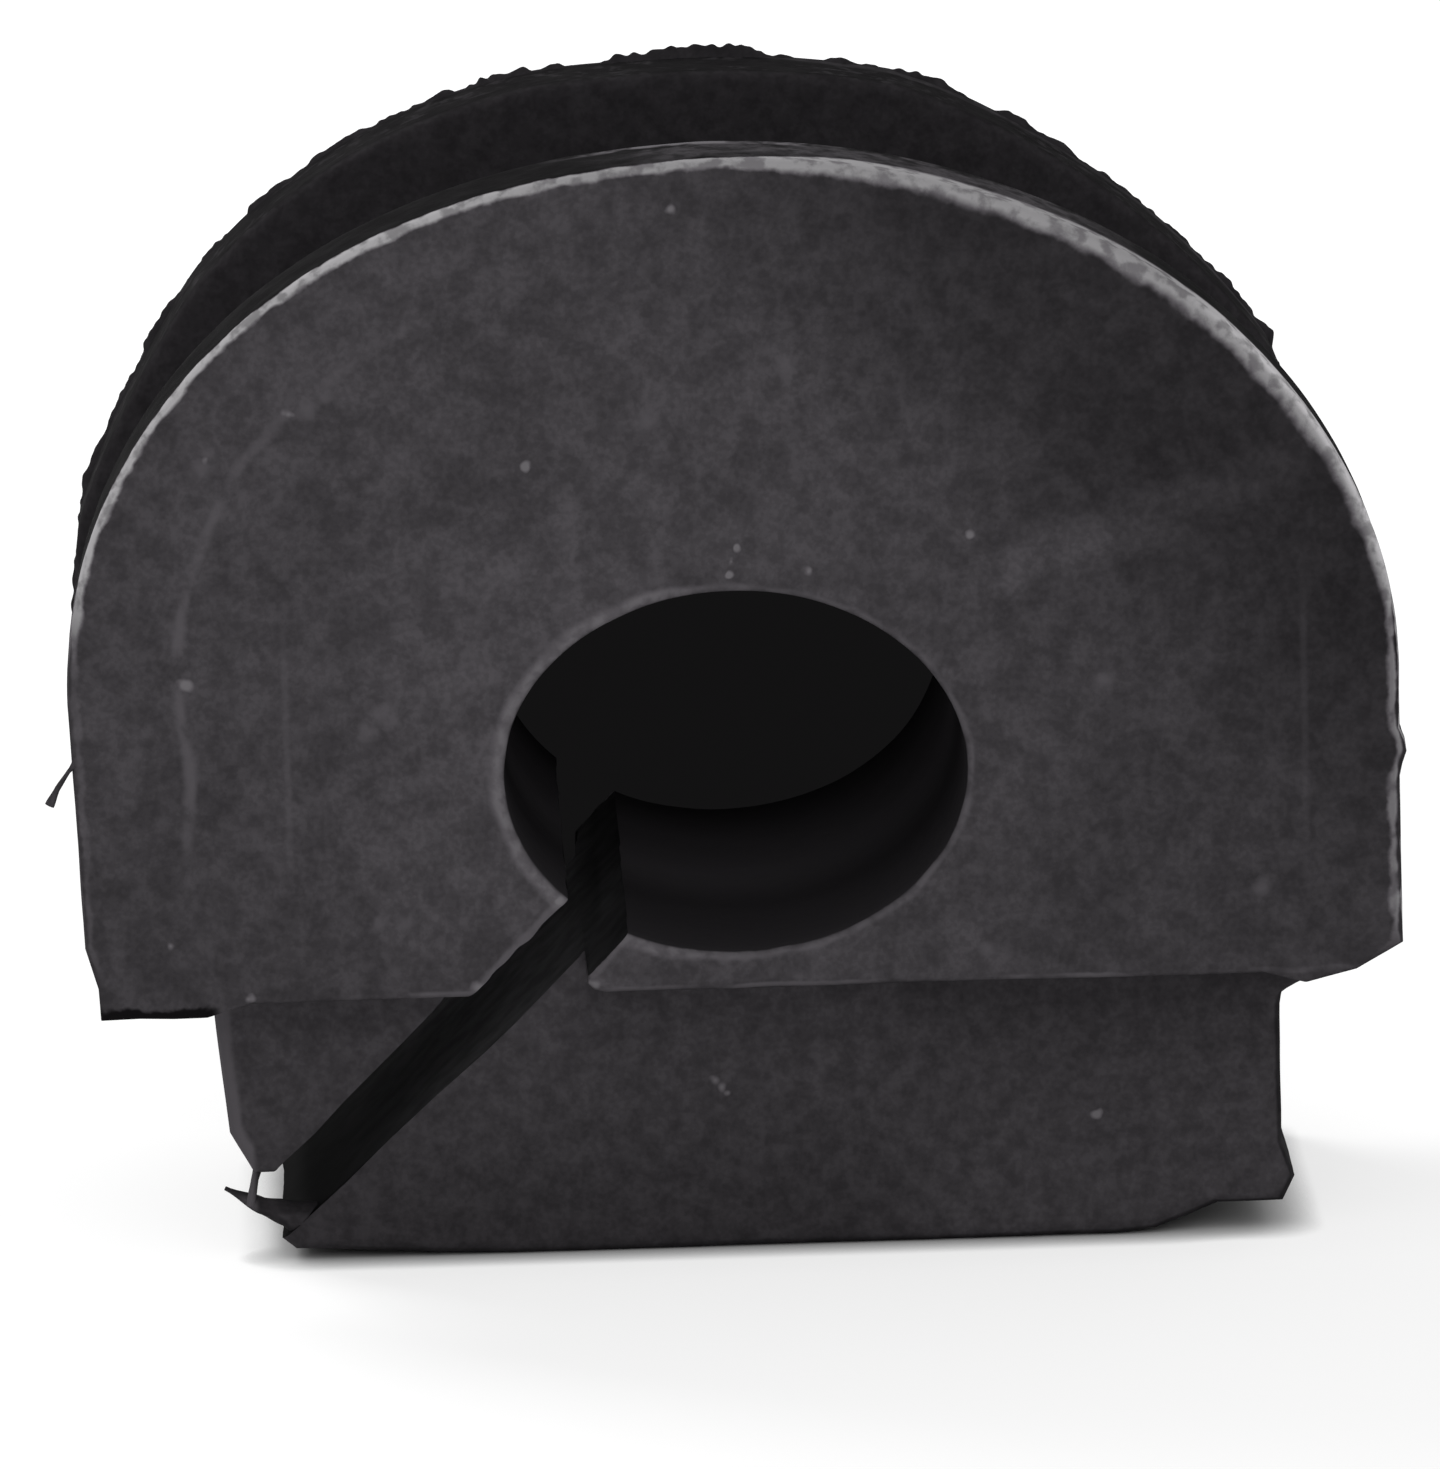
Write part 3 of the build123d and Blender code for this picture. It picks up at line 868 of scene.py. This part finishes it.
# The slit's walls are cut, not moulded. They are matt; painted shade makes them black at the foot and
# beside the hole, and painted light makes them greyer half way up and further back.
CUT_SHEEN = 0.03
CUT_TINT = (1.0, 0.98, 1.02)
cut_rubber = bpy.data.materials.new("cut_rubber")
cut_rubber.use_nodes = True
nodes = cut_rubber.node_tree.nodes
links = cut_rubber.node_tree.links
cut_shader = nodes["Principled BSDF"]
cut_shader.inputs["Specular IOR Level"].default_value = CUT_SHEEN
cut_shader.inputs["Roughness"].default_value = 0.9
place = nodes.new("ShaderNodeTexCoord").outputs["Object"]
axes = nodes.new("ShaderNodeSeparateXYZ")
links.new(place, axes.inputs[0])
cut_tone_and_painted_light = ramp(axes.outputs["Z"], 2 * MM, 15 * MM, 0.002, 0.12)
cut_tone_and_painted_light = worked("MULTIPLY", cut_tone_and_painted_light, ramp(axes.outputs["Y"], -17 * MM, 2 * MM, 0.4, 1.6))
cut_tone_and_painted_light = worked("MULTIPLY", cut_tone_and_painted_light, ramp(axes.outputs["Z"], 11 * MM, 17 * MM, 1.3, 0.28))
cut_tone_and_painted_light = worked("MULTIPLY", cut_tone_and_painted_light, ramp(cloud(1.5), 0.3, 0.7, 0.8, 1.2))
tint = nodes.new("ShaderNodeVectorMath")
tint.operation = "SCALE"
tint.inputs[0].default_value = CUT_TINT
links.new(cut_tone_and_painted_light, tint.inputs["Scale"])
links.new(tint.outputs["Vector"], cut_shader.inputs["Base Color"])
moulding_mesh.materials.append(cut_rubber)

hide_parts("rubber_bushing")
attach(moulding, "root")

# Studio: a pale floor, soft light, and a camera in front of the bushing and a little above it
CAMERA_AIM = Vector((-0.7, -17.0, 26.4)) * MM
CAMERA_DISTANCE = 722.0 * MM
CAMERA_AZIMUTH = math.radians(-1.2)
CAMERA_HEIGHT = math.radians(11.46)
CAMERA_ROLL = math.radians(-1.55)
CAMERA_LENS = 374.1
camera_data = bpy.data.cameras.new("camera")
camera_data.lens = CAMERA_LENS
camera_data.sensor_width = 36.0
camera_data.clip_start = 0.05
camera = bpy.data.objects.new("camera", camera_data)
bpy.context.collection.objects.link(camera)
back = Vector(
    (
        math.sin(CAMERA_AZIMUTH) * math.cos(CAMERA_HEIGHT),
        -math.cos(CAMERA_AZIMUTH) * math.cos(CAMERA_HEIGHT),
        math.sin(CAMERA_HEIGHT),
    )
)
camera.location = CAMERA_AIM + back * CAMERA_DISTANCE
camera.rotation_mode = "QUATERNION"
roll = Quaternion((0, 0, 1), CAMERA_ROLL)
camera.rotation_quaternion = (-back).to_track_quat("-Z", "Y") @ roll
bpy.context.scene.camera = camera

FLOOR_HALF_WIDTH = 3.0
floor_mesh = bpy.data.meshes.new("floor")
bm = bmesh.new()
bmesh.ops.create_grid(bm, x_segments=1, y_segments=1, size=FLOOR_HALF_WIDTH)
bm.to_mesh(floor_mesh)
bm.free()
floor = bpy.data.objects.new("floor", floor_mesh)
bpy.context.collection.objects.link(floor)

# A black card behind the hole and the slit, which show nothing but black: painted shade that stands in
# for the dark seen through them. It is part of the studio, and only its front is there for the camera.
CARD_MARGIN = 0.6 * MM
CARD_OFF = 0.3 * MM
STRIP_LENGTH = 26.0 * MM
card_mesh = bpy.data.meshes.new("painted_shade_card")
bm = bmesh.new()
oval = bmesh.ops.create_circle(bm, cap_ends=True, segments=64, radius=1.0)
for vert in oval["verts"]:
    across_hole = vert.co.x * (HOLE_HALF_WIDTH + CARD_MARGIN)
    above_hole = vert.co.y * (HOLE_HALF_HEIGHT + CARD_MARGIN)
    vert.co = Vector((across_hole, half_length + CARD_OFF, HOLE_HEIGHT + above_hole))
strip_half = SLIT_HALF_WIDTH + 2 * CARD_MARGIN
strip_end = hole_middle + slit_run * STRIP_LENGTH
strip = [hole_middle - slit_side * strip_half, strip_end - slit_side * strip_half]
strip += [strip_end + slit_side * strip_half, hole_middle + slit_side * strip_half]
bm.faces.new([bm.verts.new((p.x, half_length + CARD_OFF * 1.2, p.y)) for p in strip])
bm.normal_update()
bmesh.ops.reverse_faces(bm, faces=[face for face in bm.faces if face.normal.y > 0])
bm.to_mesh(card_mesh)
bm.free()
card = bpy.data.objects.new("painted_shade_card", card_mesh)
bpy.context.collection.objects.link(card)
shade_sheet = bpy.data.materials.new("painted_shade_sheet")
shade_sheet.use_nodes = True
nodes = shade_sheet.node_tree.nodes
links = shade_sheet.node_tree.links
shade_sheet_shader = nodes["Principled BSDF"]
shade_sheet_shader.inputs["Base Color"].default_value = (0.003, 0.003, 0.003, 1)
# Its faint emission is a painted glow, which keeps the painted shade from going dead black.
shade_sheet_shader.inputs["Emission Color"].default_value = (0.0062, 0.006, 0.0062, 1)
shade_sheet_shader.inputs["Emission Strength"].default_value = 1.0
shade_sheet_shader.inputs["Roughness"].default_value = 1.0
shade_sheet_shader.inputs["Specular IOR Level"].default_value = 0.0
side = nodes.new("ShaderNodeNewGeometry")
rays = nodes.new("ShaderNodeLightPath")
hidden = nodes.new("ShaderNodeMath")
hidden.operation = "MULTIPLY"
links.new(side.outputs["Backfacing"], hidden.inputs[0])
links.new(rays.outputs["Is Camera Ray"], hidden.inputs[1])
shown = nodes.new("ShaderNodeMath")
shown.operation = "SUBTRACT"
shown.inputs[0].default_value = 1.0
links.new(hidden.outputs[0], shown.inputs[1])
links.new(shown.outputs[0], shade_sheet_shader.inputs["Alpha"])
card_mesh.materials.append(shade_sheet)

# The floor is white for the camera, and keeps the shadow where the bushing stands close to it
FLOOR_GLOW = 0.64
SHADOW_REACH = 2.5 * MM
paper = bpy.data.materials.new("white_paper")
paper.use_nodes = True
nodes = paper.node_tree.nodes
links = paper.node_tree.links
paper_shader = nodes["Principled BSDF"]
paper_shader.inputs["Roughness"].default_value = 0.9
paper_shader.inputs["Specular IOR Level"].default_value = 0.1
paper_shader.inputs["Emission Color"].default_value = (1, 1, 1, 1)
rays = nodes.new("ShaderNodeLightPath")
corner = nodes.new("ShaderNodeAmbientOcclusion")
corner.samples = 8
corner.inputs["Distance"].default_value = SHADOW_REACH
open_share = worked("POWER", corner.outputs["AO"], 3.0)
lift = nodes.new("ShaderNodeMath")
lift.operation = "MULTIPLY"
links.new(worked("MULTIPLY", open_share, FLOOR_GLOW), lift.inputs[1])
links.new(rays.outputs["Is Camera Ray"], lift.inputs[0])
links.new(lift.outputs[0], paper_shader.inputs["Emission Strength"])
paler = nodes.new("ShaderNodeMapRange")
paler.inputs["To Min"].default_value = 0.85
paler.inputs["To Max"].default_value = 0.45
links.new(rays.outputs["Is Camera Ray"], paler.inputs["Value"])
links.new(paler.outputs["Result"], paper_shader.inputs["Base Color"])
floor_mesh.materials.append(paper)

ROOM_LIGHT = 0.55
world = bpy.data.worlds.new("studio")
bpy.context.scene.world = world
world.use_nodes = True
nodes = world.node_tree.nodes
links = world.node_tree.links
room = nodes["Background"]
room.inputs["Color"].default_value = (1, 1, 1, 1)
room.inputs["Strength"].default_value = ROOM_LIGHT


def soft_lamp(name, place, aim, size, watts):
    """A square soft box at a place, facing a point."""
    data = bpy.data.lights.new(name, "AREA")
    data.size = size
    data.energy = watts
    lamp = bpy.data.objects.new(name, data)
    bpy.context.collection.objects.link(lamp)
    lamp.location = place
    lamp.rotation_mode = "QUATERNION"
    lamp.rotation_quaternion = (Vector(aim) - Vector(place)).to_track_quat("-Z", "Y")


LAMP_AIM = (0, 0, 0.025)
soft_lamp("front_box", (0.1, -1.1, 0.9), LAMP_AIM, 1.2, 6.0)
soft_lamp("back_box", (-0.5, 0.55, 0.6), LAMP_AIM, 0.35, 4.5)
bpy.context.scene.view_settings.view_transform = "Standard"
